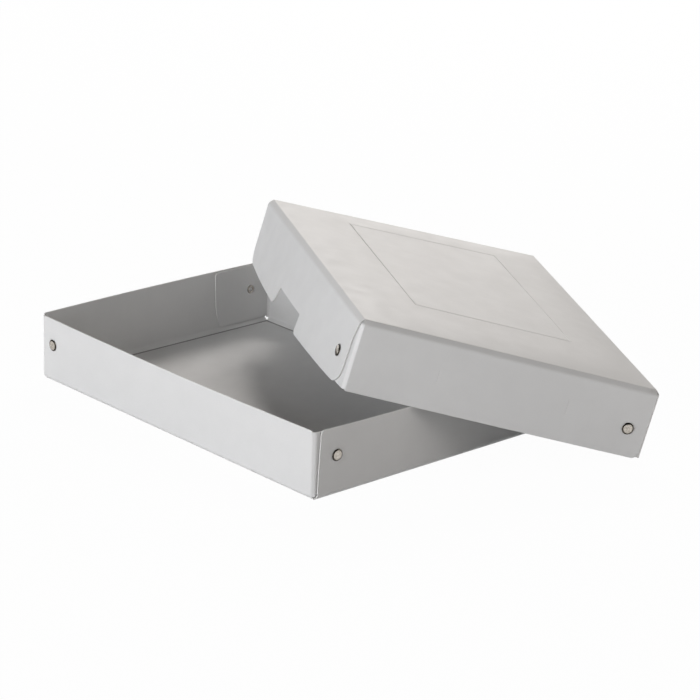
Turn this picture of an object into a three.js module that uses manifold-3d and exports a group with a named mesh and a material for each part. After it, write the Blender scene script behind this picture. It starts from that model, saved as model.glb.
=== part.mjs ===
// Two-piece storage box of solid paperboard: an open base and a lid that leans askew on it.
// Each half is one folded blank: every fold is a pair of creases with a narrow slanted strip between them,
// and each wall ends in a flap that turns the corner and is riveted behind the next wall.
// Millimetres, +Z up, origin at the centre of the base's underside, X along its long side.
import * as THREE from 'three';
import { TessellateModifier } from 'three/addons/modifiers/TessellateModifier.js';
import { mergeVertices } from 'three/addons/utils/BufferGeometryUtils.js';
import Module from 'manifold-3d';

const wasm = await Module();
wasm.setup();

// Board and folds
const board = 1.0; // thickness of the board
const crease = 3.5; // how far from the sharp corner each crease of a fold lies
const pinch = 0.25; // air between a flap and the wall in front of it
const slip = 0.5; // air between the base and a closed lid's flaps
const layer = board + pinch;

// Outer sizes of the base. The lid goes over it, with a board, a flap and the slip on each side
const baseLength = 320;
const baseWidth = 228;
const baseHeight = 52;
const lidLength = baseLength + 2 * (2 * board + slip);
const lidWidth = baseWidth + 2 * (2 * board + slip);
const lidHeight = baseHeight + board;

// Outward bow of each rim at the middle of its wall, where nothing holds the board
const baseBow = { front: 3.1, right: 3.5, back: 2.6, left: 2.2 };
const lidBow = { long: 8.4, short: 0.6 };
const lidTwist = 2.1; // how far two opposite corners of the lid rise and the other two sink

// Flaps: length at the rim and at the foot, height of the foot, step below the rim
const flapLength = 56;
const flapFootLength = 53;
const flapFoot = 5.0;
const flapDrop = 0.4;
const flapRadius = 3;

// Cut ends of the walls: distance from the corner at the crease, at the shoulder and at the rim
const baseEnd = { atCrease: 3.5, shoulder: 20, atShoulder: 4.2, atRim: 5.7, radius: 3 };
const lidShortEnd = { atCrease: 2.6, shoulder: 20, atShoulder: 2.6, atRim: 2.6, radius: 5 };
const lidLongEnd = { atCrease: 2.0, shoulder: 12, atShoulder: 6.6, atRim: 7.4, radius: 15 };
const sharpFold = 1.0; // corner radius where the rim meets a fold
const wideFold = 13; // the same on the lid's high long wall

// Thumb notch in the middle of each long wall of the lid
const notch = { rimWidth: 75, topWidth: 69, depth: 14, rimRadius: 4, topRadius: 1.6 };

// Debossed lines of the lid: a label field on the top and two marks on one short wall
const labelField = { length: 212, width: 124, shiftLength: 14, shiftWidth: 4 };
const mark = { length: 11, spacing: 100, fromRim: 20.5 };
const lineWidth = 0.8;
const lineDepth = 0.25;

// Rivets: distance from the corner and from the rim
const baseRivetDrop = 21;
const baseLongRivetInset = 16.5;
const baseShortRivetInset = 20;
const lidRivetDrop = 21;
const lidLongRivetInset = 26;
const lidShortRivetInset = 17;

// Tubular rivet: a low domed head outside, a tube through both layers and a rolled end inside
const rivet = {
  headRadius: 4.5,
  headRim: 0.25,
  headHeight: 1.05,
  tubeRadius: 2.0,
  boreRadius: 1.5,
  boreRoof: 0.3,
  curlRadius: 3.5,
  curlHeight: 0.4,
  holeClearance: 0.3,
  seat: 0.15,
};

// Pose of the lid: turned, tilted down to one long rim and rolled a little down to its back end
const lidTurn = 60.9; // degrees
const lidTilt = 15.5; // degrees
const lidRoll = 0.35; // degrees
const seatGap = 0.3;

// How finely curves and bowed walls are cut, and one overrun for all cuts
const wallColumns = 12;
const wallRows = 4;
const flapColumns = 3;
const rimSteps = 60;
const longestEdge = 40;
const arcSteps = 6;
const roundSteps = 20;
const domeSteps = 4;
const tessellations = 8;
const settlePasses = 24;
const overrun = 5;

const boardMaterial = { color: 0xd0d1d0, roughness: 0.62, metalness: 0 };
const rivetMaterial = { color: 0xb9b7b0, roughness: 0.28, metalness: 1 };

const X = new THREE.Vector3(1, 0, 0);
const Y = new THREE.Vector3(0, 1, 0);
const Z = new THREE.Vector3(0, 0, 1);

// Closed solid from a geometry whose faces share their vertices
function toSolid(geometry) {
  geometry.deleteAttribute('normal');
  geometry.deleteAttribute('uv');
  const merged = mergeVertices(geometry, board / 1e4);
  return new wasm.Manifold(new wasm.Mesh({
    numProp: 3,
    vertProperties: new Float32Array(merged.attributes.position.array),
    triVerts: new Uint32Array(merged.index.array),
  }));
}

function toGeometry(solid) {
  const { vertProperties, triVerts } = solid.getMesh();
  const geometry = new THREE.BufferGeometry();
  geometry.setAttribute('position', new THREE.BufferAttribute(new Float32Array(vertProperties), 3));
  geometry.setIndex(new THREE.BufferAttribute(new Uint32Array(triVerts), 1));
  return geometry;
}

// Outline with round corners. A corner is [x, y] or [x, y, radius]
function outline(corners) {
  const shape = new THREE.Shape();
  corners.forEach(([x, y, radius = 0], index) => {
    const here = new THREE.Vector2(x, y);
    const previous = corners.at(index - 1);
    const next = corners[(index + 1) % corners.length];
    const back = new THREE.Vector2(previous[0], previous[1]).sub(here).normalize();
    const ahead = new THREE.Vector2(next[0], next[1]).sub(here).normalize();
    const half = Math.acos(back.dot(ahead)) / 2;
    const from = here.clone().addScaledVector(back, radius / Math.tan(half));
    if (index === 0) {
      shape.moveTo(from.x, from.y);
    } else {
      shape.lineTo(from.x, from.y);
    }
    if (radius > 0) {
      const to = here.clone().addScaledVector(ahead, radius / Math.tan(half));
      const middle = back.clone().add(ahead).normalize();
      const centre = here.clone().addScaledVector(middle, radius / Math.sin(half));
      const start = Math.atan2(from.y - centre.y, from.x - centre.x);
      const end = Math.atan2(to.y - centre.y, to.x - centre.x);
      shape.absarc(centre.x, centre.y, radius, start, end, back.cross(ahead) > 0);
    }
  });
  return shape;
}

// Extrusion of an outline. The outline's first axis lies along right, its second along up,
// and it runs from low to high along the third
function extruded(shape, right, up, low, high, steps = 1) {
  const geometry = new THREE.ExtrudeGeometry(shape, {
    depth: high - low, steps, bevelEnabled: false, curveSegments: arcSteps,
  });
  const third = right.clone().cross(up);
  const origin = third.clone().multiplyScalar(low);
  return geometry.applyMatrix4(new THREE.Matrix4().makeBasis(right, up, third).setPosition(origin));
}

function prism(shape, right, up, low, high) {
  return toSolid(extruded(shape, right, up, low, high));
}

// Section of a bent board: its outer line, and the same line moved to the inner face with mitred bends
function bentSection(line, inward) {
  const normals = line.slice(1).map(([x, y], index) => {
    const along = new THREE.Vector2(x - line[index][0], y - line[index][1]).normalize();
    return new THREE.Vector2(-along.y, along.x).multiplyScalar(inward);
  });
  const inner = line.map(([x, y], index) => {
    const before = normals[Math.max(index - 1, 0)];
    const after = normals[Math.min(index, normals.length - 1)];
    const mitre = before.clone().add(after).normalize();
    const reach = board / mitre.dot(before);
    return [x + mitre.x * reach, y + mitre.y * reach];
  });
  return outline([...line, ...inner.reverse()]);
}

// The four sides of a tray, counted anticlockwise from the one that faces -Y
function sidesOf(tray) {
  const long = { span: tray.length, depth: tray.width / 2, ...tray.long };
  const short = { span: tray.width, depth: tray.length / 2, ...tray.short };
  return [long, short, long, short].map((side, index) => ({ ...side, ...tray.sides[index] }));
}

// How far the rim's bow pushes a point of a side outwards
function bowAt(tray, side, along, height) {
  const heightShare = Math.max(0, (height - crease) / (tray.height - crease));
  return side.bow * (1 - (2 * along / side.span) ** 2) * heightShare;
}

// Pushes the points of a side's panels outwards, those of its flap together with the next wall
function bowOut(geometry, tray, side, next) {
  const position = geometry.attributes.position;
  for (let i = 0; i < position.count; i += 1) {
    const [x, y, z] = [position.getX(i), position.getY(i), position.getZ(i)];
    const onFlap = x > side.span / 2 - crease;
    position.setX(i, x + (onFlap ? bowAt(tray, next, y, z) : 0));
    position.setY(i, y - bowAt(tray, side, x, z));
  }
  return toSolid(geometry);
}

// Evenly spaced points from one point to another, without the first
function spaced(from, to, count) {
  return Array.from({ length: count }, (_, index) => {
    const share = (index + 1) / count;
    return [from[0] + (to[0] - from[0]) * share, from[1] + (to[1] - from[1]) * share];
  });
}

// Outline of the thumb notch, from its high end to its low end
function notchCorners(tray) {
  return [
    [notch.rimWidth / 2, tray.height, notch.rimRadius],
    [notch.topWidth / 2, tray.height - notch.depth, notch.topRadius],
    [-notch.topWidth / 2, tray.height - notch.depth, notch.topRadius],
    [-notch.rimWidth / 2, tray.height, notch.rimRadius],
  ];
}

// One wall, folded up along y = -depth, with its cut end at low x and its fold at high x
function wallPanel(tray, side, next) {
  const { height } = tray;
  const { depth, end, foldRadius } = side;
  const left = -side.span / 2;
  const fold = side.span / 2 - crease;
  const foot = [-depth, crease];
  const line = [
    [-depth + crease + overrun, 0],
    [-depth + crease, 0],
    foot,
    ...spaced(foot, [-depth, height], wallRows),
  ];
  const plate = extruded(bentSection(line, -1), Y, Z, left, fold, wallColumns);
  const cut = outline([
    [left + crease, -overrun],
    [fold, -overrun],
    [fold, height, foldRadius],
    ...(side.hasNotch ? notchCorners(tray) : []),
    [left + end.atRim, height, end.radius],
    [left + end.atShoulder, crease + end.shoulder],
    [left + end.atCrease, crease],
    [left + crease, crease],
  ]);
  const cutDepth = depth + side.bow + overrun;
  return bowOut(plate, tray, side, next).intersect(prism(cut, X, Z, depth - crease - 2 * overrun, cutDepth));
}

// The strip round the corner at high x and the flap behind the next wall
function flapPanel(tray, side, next) {
  const { span, depth } = side;
  const bend = [span / 2 - layer, -depth + crease - layer];
  const line = [
    [span / 2 - crease, -depth],
    bend,
    ...spaced(bend, [span / 2 - layer, -depth + flapLength], flapColumns),
  ];
  const plate = extruded(bentSection(line, 1), X, Y, crease, tray.height, wallRows);
  const rim = tray.height - Math.max(side.foldRadius, flapDrop);
  const cut = outline([
    [-depth - overrun, 0],
    [-depth + crease - layer, 0],
    [-depth + crease - layer, flapFoot],
    [-depth + flapFootLength, flapFoot, flapRadius],
    [-depth + flapLength, rim, flapRadius],
    [-depth - overrun, rim],
  ]);
  return bowOut(plate, tray, side, next).intersect(prism(cut, Y, Z, 0, span));
}

function turnTo(index) {
  return new THREE.Matrix4().makeRotationZ(index * Math.PI / 2);
}

// Where the rivet of one side sits: on the wall's outer face, Y pointing straight out of the bowed wall
function rivetPlace(tray, side, index) {
  const along = -side.span / 2 + side.rivetInset;
  const height = tray.height - tray.rivetDrop;
  const reach = rivet.tubeRadius;
  const bowRise = bowAt(tray, side, along, height + reach) - bowAt(tray, side, along, height - reach);
  const bowRun = bowAt(tray, side, along + reach, height) - bowAt(tray, side, along - reach, height);
  const outward = new THREE.Vector3(-bowRun, -2 * reach, -bowRise).normalize();
  const seat = new THREE.Vector3(along, -side.depth - bowAt(tray, side, along, height), height);
  const rotation = new THREE.Quaternion().setFromUnitVectors(Y, outward);
  return turnTo(index).multiply(new THREE.Matrix4().compose(seat, rotation, new THREE.Vector3(1, 1, 1)));
}

function rivetHole(tray, side, index) {
  const radius = rivet.tubeRadius + rivet.holeClearance;
  const hole = new THREE.CylinderGeometry(radius, radius, 2 * overrun, roundSteps);
  return toSolid(hole.applyMatrix4(rivetPlace(tray, side, index)));
}

// Frame of debossed line around a rectangle, sunk into the closed panel's outer face
function labelLine() {
  const frame = (grow) => {
    const halfLength = labelField.length / 2 + grow;
    const halfWidth = labelField.width / 2 + grow;
    return outline([
      [labelField.shiftLength - halfLength, labelField.shiftWidth - halfWidth],
      [labelField.shiftLength + halfLength, labelField.shiftWidth - halfWidth],
      [labelField.shiftLength + halfLength, labelField.shiftWidth + halfWidth],
      [labelField.shiftLength - halfLength, labelField.shiftWidth + halfWidth],
    ]);
  };
  const outer = prism(frame(lineWidth / 2), X, Y, -overrun, lineDepth);
  return outer.subtract(prism(frame(-lineWidth / 2), X, Y, -2 * overrun, overrun));
}

// Short upright line, sunk into the outer face of a wall on one side of its middle
function markLine(tray, side, index, hand) {
  const middle = hand * mark.spacing / 2;
  const top = tray.height - mark.fromRim;
  const shape = outline([
    [middle - lineWidth / 2, top - mark.length],
    [middle + lineWidth / 2, top - mark.length],
    [middle + lineWidth / 2, top],
    [middle - lineWidth / 2, top],
  ]);
  const line = extruded(shape, X, Z, side.depth - lineDepth, side.depth + overrun);
  return turned(bowOut(line, tray, side, side), index);
}

function turned(solid, index) {
  return toSolid(toGeometry(solid).applyMatrix4(turnTo(index)));
}

// The folded blank of one half, opening upwards
function foldedBlank(tray) {
  const floor = new THREE.BoxGeometry(tray.length - 2 * crease, tray.width - 2 * crease, board);
  floor.translate(0, 0, board / 2);
  let solid = toSolid(floor);
  const sides = sidesOf(tray);
  sides.forEach((side, index) => {
    const next = sides[(index + 1) % sides.length];
    const panels = wallPanel(tray, side, next).add(flapPanel(tray, side, next));
    solid = solid.add(turned(panels, index));
  });
  sides.forEach((side, index) => {
    solid = solid.subtract(rivetHole(tray, side, index));
  });
  if (tray.hasLines) {
    const marked = sides.length - 1;
    solid = solid.subtract(labelLine());
    solid = solid.subtract(markLine(tray, sides[marked], marked, -1));
    solid = solid.subtract(markLine(tray, sides[marked], marked, 1));
  }
  return toGeometry(solid);
}

// How far a tray's twist lowers a point of it
function twistAt(tray, x, y) {
  return tray.twist * (2 * x / tray.length) * (2 * y / tray.width);
}

// Twists a finished piece of a tray, after its long edges have been split so that flat panels can follow
function twisted(tray, geometry) {
  const split = new TessellateModifier(longestEdge, tessellations).modify(geometry);
  const position = split.attributes.position;
  for (let i = 0; i < position.count; i += 1) {
    position.setZ(i, position.getZ(i) - twistAt(tray, position.getX(i), position.getY(i)));
  }
  return toGeometry(toSolid(split));
}

// Rivet on the Y axis, its head upwards and the wall's outer face at zero
function rivetGeometry() {
  const inside = -(board + layer) - rivet.seat;
  const points = [[0, -rivet.boreRoof], [rivet.boreRadius, -rivet.boreRoof], [rivet.boreRadius, inside]];
  const curlMiddle = (rivet.boreRadius + rivet.curlRadius) / 2;
  const curlHalf = (rivet.curlRadius - rivet.boreRadius) / 2;
  for (let step = 1; step < domeSteps; step += 1) {
    const angle = Math.PI * step / domeSteps;
    points.push([curlMiddle - curlHalf * Math.cos(angle), inside - rivet.curlHeight * Math.sin(angle)]);
  }
  points.push([rivet.curlRadius, inside], [rivet.tubeRadius, inside]);
  points.push([rivet.tubeRadius, rivet.seat], [rivet.headRadius, rivet.seat]);
  for (let step = 0; step < domeSteps; step += 1) {
    const angle = Math.PI / 2 * step / domeSteps;
    const rise = (rivet.headHeight - rivet.headRim) * Math.sin(angle);
    points.push([rivet.headRadius * Math.cos(angle), rivet.seat + rivet.headRim + rise]);
  }
  points.push([0, rivet.seat + rivet.headHeight]);
  return new THREE.LatheGeometry(points.map(([x, y]) => new THREE.Vector2(x, y)), roundSteps);
}

function makeMesh(name, geometry, material) {
  const mesh = new THREE.Mesh(geometry, new THREE.MeshStandardMaterial(material));
  mesh.name = name;
  return mesh;
}

// One half as a group: the blank and its four rivets
function makeHalf(tray) {
  const group = new THREE.Group();
  const blank = foldedBlank(tray);
  group.add(makeMesh(tray.name, tray.twist === 0 ? blank : twisted(tray, blank), boardMaterial));
  sidesOf(tray).forEach((side, index) => {
    const mesh = makeMesh(`${tray.rivetPrefix}_${tray.corners[index]}`, rivetGeometry(), rivetMaterial);
    const place = rivetPlace(tray, side, index);
    const middle = new THREE.Vector3().setFromMatrixPosition(place);
    const sink = new THREE.Matrix4().makeTranslation(0, 0, -twistAt(tray, middle.x, middle.y));
    mesh.applyMatrix4(sink.multiply(place));
    group.add(mesh);
  });
  return group;
}

const base = {
  name: 'base_tray',
  rivetPrefix: 'base_rivet',
  corners: ['front_left', 'front_right', 'back_right', 'back_left'],
  length: baseLength,
  width: baseWidth,
  height: baseHeight,
  rivetDrop: baseRivetDrop,
  twist: 0,
  hasLines: false,
  long: { end: baseEnd, hasNotch: false, rivetInset: baseLongRivetInset },
  short: { end: baseEnd, hasNotch: false, rivetInset: baseShortRivetInset },
  sides: [
    { bow: baseBow.front, foldRadius: sharpFold },
    { bow: baseBow.right, foldRadius: sharpFold },
    { bow: baseBow.back, foldRadius: sharpFold },
    { bow: baseBow.left, foldRadius: sharpFold },
  ],
};

const lid = {
  name: 'lid_shell',
  rivetPrefix: 'lid_rivet',
  corners: ['front_left', 'back_left', 'back_right', 'front_right'],
  length: lidLength,
  width: lidWidth,
  height: lidHeight,
  rivetDrop: lidRivetDrop,
  twist: lidTwist,
  hasLines: true,
  long: { end: lidLongEnd, hasNotch: true, rivetInset: lidLongRivetInset },
  short: { end: lidShortEnd, hasNotch: false, rivetInset: lidShortRivetInset },
  sides: [
    { bow: lidBow.long, foldRadius: wideFold },
    { bow: lidBow.short, foldRadius: sharpFold },
    { bow: lidBow.long, foldRadius: sharpFold },
    { bow: lidBow.short, foldRadius: sharpFold },
  ],
};

// Point on the rim of one of the lid's sides, at a distance inwards from its outer face
function lidRimPoint(pose, index, along, inward) {
  const side = sidesOf(lid)[index];
  const reach = side.depth + bowAt(lid, side, along, lidHeight) - inward;
  const point = new THREE.Vector3(along, -reach, lidHeight).applyMatrix4(turnTo(index));
  point.z -= twistAt(lid, point.x, point.y);
  return point.applyMatrix4(pose);
}

// Where the inner edge of one of the lid's short rims comes down to the base's rim. It rises towards
// the side's high end if rising is 1, towards its low end if rising is -1
function crossing(pose, index, rising) {
  let high = rising * lidWidth / 2;
  let low = -high;
  for (let pass = 0; pass < settlePasses; pass += 1) {
    const middle = (high + low) / 2;
    if (lidRimPoint(pose, index, middle, board).z > baseHeight + seatGap) {
      high = middle;
    } else {
      low = middle;
    }
  }
  return lidRimPoint(pose, index, high, board);
}

// Height of the lowest point of the lid's low rim, on either side of its notch
function lowestOfLowRim(pose, index) {
  const heights = spaced([-lidLength / 2, 0], [lidLength / 2, 0], rimSteps)
    .filter(([along]) => Math.abs(along) > notch.rimWidth / 2)
    .map(([along]) => lidRimPoint(pose, index, along, 0).z);
  return Math.min(...heights);
}

// Lays the lid to rest: its low long rim stands on the table,
// and its two short rims cross the tops of the base's +X and +Y walls
function placeLid(group) {
  const turn = THREE.MathUtils.degToRad(lidTurn);
  const tilt = THREE.MathUtils.degToRad(lidTilt);
  const across = new THREE.Vector3(Math.cos(turn) * Math.cos(tilt), Math.sin(turn) * Math.cos(tilt), -Math.sin(tilt));
  const along = new THREE.Vector3(-Math.sin(turn), Math.cos(turn), 0);
  const pose = new THREE.Matrix4().makeBasis(along, across, along.clone().cross(across));
  pose.multiply(new THREE.Matrix4().makeRotationY(-THREE.MathUtils.degToRad(lidRoll)));
  const [, rightWall, backWall] = sidesOf(base);
  const [, backRim, lowRim, frontRim] = sidesOf(lid).keys();
  const place = new THREE.Vector3(0, 0, -lowestOfLowRim(pose, lowRim));
  for (let pass = 0; pass < settlePasses; pass += 1) {
    pose.setPosition(place);
    const front = crossing(pose, frontRim, 1);
    const back = crossing(pose, backRim, -1);
    place.x += rightWall.depth + bowAt(base, rightWall, front.y, baseHeight) - front.x;
    place.y += backWall.depth + bowAt(base, backWall, back.x, baseHeight) - back.y;
  }
  group.applyMatrix4(pose.setPosition(place));
}

const box = new THREE.Group();
const lidGroup = makeHalf(lid);
placeLid(lidGroup);
box.add(makeHalf(base), lidGroup);

export default box;
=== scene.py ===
"""Looks of a two-piece paperboard storage box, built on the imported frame.

Each half is modelled as it is made: a flat sheet is extruded along its creases into walls, corner
strips and flaps, its outline is cut and rounded, its rims are bowed, and the sheet then gets the
board's thickness. Rivets are turned from a circle. Lengths are in metres.
"""

import logging
import math
from dataclasses import dataclass, replace
from enum import Enum
from typing import Callable, Iterable, Sequence

import bmesh
import bpy
import numpy as np
from mathutils import Matrix, Quaternion, Vector

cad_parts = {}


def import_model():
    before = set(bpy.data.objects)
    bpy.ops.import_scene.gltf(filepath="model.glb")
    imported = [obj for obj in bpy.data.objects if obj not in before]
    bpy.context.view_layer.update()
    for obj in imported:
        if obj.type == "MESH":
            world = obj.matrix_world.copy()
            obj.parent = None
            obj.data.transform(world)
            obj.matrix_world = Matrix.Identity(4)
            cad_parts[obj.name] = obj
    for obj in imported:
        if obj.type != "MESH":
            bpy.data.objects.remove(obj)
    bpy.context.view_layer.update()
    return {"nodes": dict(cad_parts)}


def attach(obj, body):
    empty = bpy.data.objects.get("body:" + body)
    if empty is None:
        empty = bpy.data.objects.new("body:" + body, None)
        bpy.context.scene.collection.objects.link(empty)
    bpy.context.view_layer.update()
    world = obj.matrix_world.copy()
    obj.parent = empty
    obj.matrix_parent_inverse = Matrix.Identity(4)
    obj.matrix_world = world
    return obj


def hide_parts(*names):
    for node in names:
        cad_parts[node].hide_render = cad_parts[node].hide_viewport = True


LOG = logging.getLogger("storage_box")
MM = 0.001
NEAR = 0.01 * MM
UP = Vector((0, 0, 1))

CREASE_ANGLE = math.radians(40)
CUT_ANGLE = math.radians(65)
BOARD_SMOOTH_ANGLE = math.radians(24)
RIVET_SMOOTH_ANGLE = math.radians(50)
RIM_SEGMENTS = 8
FLAP_SEGMENTS = 5
NOTCH_RIM_SEGMENTS = 6
NOTCH_TOP_SEGMENTS = 5
CREASE_SEGMENTS = 4
CUT_SEGMENTS = 2
QUARTER_SHARES = (0.25, 0.5, 0.75)
NOISE_MIDDLE = (0.3, 0.7)
CUT_SLOT, CREASE_SHADE_SLOT = 1, 2

Point = Sequence[float]
Colour = tuple[float, float, float]
Range = tuple[float, float]
Socket = bpy.types.NodeSocket
Material = bpy.types.Material
Finishes = dict[str, Material]
Piece = bpy.types.Object
Part = bmesh.types.BMVert | bmesh.types.BMEdge | bmesh.types.BMFace
Test = Callable[[Vector], bool]


class Slot(Enum):
    """The record's material slots."""

    BOARD = "paperboard"
    RIVET = "rivet_steel"


class Half(Enum):
    """The two halves of the box, by the names of their bodies."""

    BASE = "base"
    LID = "lid"


# Finishes


@dataclass(frozen=True)
class NoiseLayer:
    """One noise pattern on Object coordinates, as large as its grain in metres."""

    grain: float
    detail: float = 2.0
    stretch: tuple[float, float, float] = (1.0, 1.0, 1.0)

    def add(self, material: Material) -> Socket:
        """Adds the pattern to a material.

        Args:
            material: The material whose node tree gets the pattern.

        Returns:
            The output that carries the pattern's value.
        """
        nodes, links = material.node_tree.nodes, material.node_tree.links
        place = nodes.new("ShaderNodeTexCoord")
        mapping = nodes.new("ShaderNodeMapping")
        mapping.inputs["Scale"].default_value = [1 / (self.grain * s) for s in self.stretch]
        noise = nodes.new("ShaderNodeTexNoise")
        noise.inputs["Scale"].default_value = 1.0
        noise.inputs["Detail"].default_value = self.detail
        links.new(place.outputs["Object"], mapping.inputs["Vector"])
        links.new(mapping.outputs["Vector"], noise.inputs["Vector"])
        return noise.outputs["Fac"]


def new_material(name: str) -> Material:
    """Makes an empty node material with a Principled surface.

    Args:
        name: The material's name.

    Returns:
        The material.
    """
    material = bpy.data.materials.new(name)
    material.use_nodes = True
    return material


def surface(material: Material) -> bpy.types.Node:
    """Returns a material's Principled node."""
    return material.node_tree.nodes["Principled BSDF"]


def spread(material: Material, value: Socket, numbers: Range) -> Socket:
    """Spreads the middle of a noise pattern, where most of it lies, over a range of numbers.

    Args:
        material: The material to add to.
        value: The pattern.
        numbers: The numbers where the pattern is dark and where it is bright.

    Returns:
        The output with the numbers.
    """
    node = material.node_tree.nodes.new("ShaderNodeMapRange")
    node.inputs["From Min"].default_value, node.inputs["From Max"].default_value = NOISE_MIDDLE
    node.inputs["To Min"].default_value, node.inputs["To Max"].default_value = numbers
    material.node_tree.links.new(value, node.inputs["Value"])
    return node.outputs["Result"]


def blend_colours(material: Material, share: Socket, first: Colour | Socket, second: Colour) -> Socket:
    """Blends two colours by a pattern.

    Args:
        material: The material to add to.
        share: The share of the second colour.
        first: The first colour, or the output that carries it.
        second: The second colour.

    Returns:
        The output with the blended colour.
    """
    links = material.node_tree.links
    node = material.node_tree.nodes.new("ShaderNodeMix")
    node.data_type = "RGBA"
    links.new(share, node.inputs["Factor"])
    if isinstance(first, Socket):
        links.new(first, node.inputs["A"])
    else:
        node.inputs["A"].default_value = (*first, 1)
    node.inputs["B"].default_value = (*second, 1)
    return node.outputs["Result"]


def compute(material: Material, operation: str, *values: Socket | float) -> Socket:
    """Adds a Math node.

    Args:
        material: The material to add to.
        operation: The node's operation.
        values: Its inputs, as outputs of other nodes or as numbers.

    Returns:
        The output with the result.
    """
    node = material.node_tree.nodes.new("ShaderNodeMath")
    node.operation = operation
    for entry, value in zip(node.inputs, values):
        if isinstance(value, Socket):
            material.node_tree.links.new(value, entry)
        else:
            entry.default_value = value
    return node.outputs["Value"]


def add_bump(material: Material, layers: Iterable[tuple[Socket, float]]) -> None:
    """Stacks bump layers on a material's surface.

    Args:
        material: The material to add to.
        layers: Pairs of a pattern and its height in metres.
    """
    nodes, links = material.node_tree.nodes, material.node_tree.links
    before = None
    for value, height in layers:
        bump = nodes.new("ShaderNodeBump")
        bump.inputs["Strength"].default_value = 1.0
        bump.inputs["Distance"].default_value = height
        links.new(value, bump.inputs["Height"])
        if before is not None:
            links.new(before, bump.inputs["Normal"])
        before = bump.outputs["Normal"]
    links.new(before, surface(material).inputs["Normal"])


@dataclass(frozen=True)
class BoardFinish:
    """Grey-white face of smooth solid board: faint fibres, soft clouds and a slight sheen."""

    name: str = "paperboard_face"
    light: Colour = (0.700, 0.699, 0.694)
    dark: Colour = (0.682, 0.681, 0.676)
    fleck: Colour = (0.640, 0.639, 0.632)
    fleck_share: float = 0.35
    roughness: Range = (0.44, 0.56)
    sheen_level: float = 0.4
    fibres: NoiseLayer = NoiseLayer(0.5 * MM, 3.0, (3.0, 1.0, 1.0))
    clouds: NoiseLayer = NoiseLayer(16 * MM, 4.0)
    waves: NoiseLayer = NoiseLayer(90 * MM, 1.0)
    fibre_height: float = 0.008 * MM
    wave_height: float = 0.03 * MM

    def material(self) -> Material:
        """Makes the board's material.

        Returns:
            The material.
        """
        material = new_material(self.name)
        fibres = self.fibres.add(material)
        clouds = self.clouds.add(material)
        waves = self.waves.add(material)
        cloudy = blend_colours(material, spread(material, clouds, (0, 1)), self.light, self.dark)
        flecks = spread(material, fibres, (0, self.fleck_share))
        flecked = blend_colours(material, flecks, cloudy, self.fleck)
        links, inputs = material.node_tree.links, surface(material).inputs
        links.new(flecked, inputs["Base Color"])
        links.new(spread(material, clouds, self.roughness), inputs["Roughness"])
        inputs["Specular IOR Level"].default_value = self.sheen_level
        add_bump(material, [(waves, self.wave_height), (fibres, self.fibre_height)])
        return material


@dataclass(frozen=True)
class PatternFinish:
    """A finish whose colour, roughness and bumps follow one noise pattern."""

    name: str
    light: Colour
    dark: Colour
    pattern: NoiseLayer
    roughness: Range
    height: float
    metallic: float = 0.0

    def material(self) -> Material:
        """Makes the finish's material.

        Returns:
            The material.
        """
        material = new_material(self.name)
        pattern = self.pattern.add(material)
        colour = blend_colours(material, spread(material, pattern, (0, 1)), self.light, self.dark)
        links, inputs = material.node_tree.links, surface(material).inputs
        links.new(colour, inputs["Base Color"])
        links.new(spread(material, pattern, self.roughness), inputs["Roughness"])
        inputs["Metallic"].default_value = self.metallic
        add_bump(material, [(pattern, self.height)])
        return material


# Painted shade: the rounded creases round the base's panel get this much darker board colour, which
# stands in for the shade in their valleys.
PAINTED_CREASE_SHADE = BoardFinish(
    name="paperboard_crease_painted_shade", light=(0.30, 0.297, 0.29), dark=(0.26, 0.257, 0.25),
    fleck=(0.22, 0.217, 0.21),
)
# The die-cut edge shows the board's pressed layers and is duller than its face.
CUT_EDGE = PatternFinish(
    name="paperboard_cut_edge", light=(0.70, 0.695, 0.685), dark=(0.60, 0.595, 0.58),
    pattern=NoiseLayer(0.35 * MM, 3.0, (6.0, 6.0, 1.0)), roughness=(0.85, 0.95), height=0.05 * MM,
)
# The rivets are bright nickel with soft tumbling marks. Painted shade: the head's outer ring and the bore
# get a near-black finish that stands in for the shade there.
NICKEL = PatternFinish(
    name="rivet_nickel", light=(0.56, 0.52, 0.47), dark=(0.34, 0.31, 0.27),
    pattern=NoiseLayer(1.2 * MM, 3.0), roughness=(0.08, 0.18), height=0.02 * MM, metallic=1.0,
)
PAINTED_RIVET_SHADE = replace(
    NICKEL, name="rivet_painted_shade", light=(0.10, 0.09, 0.075), dark=(0.03, 0.027, 0.022),
)


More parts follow.
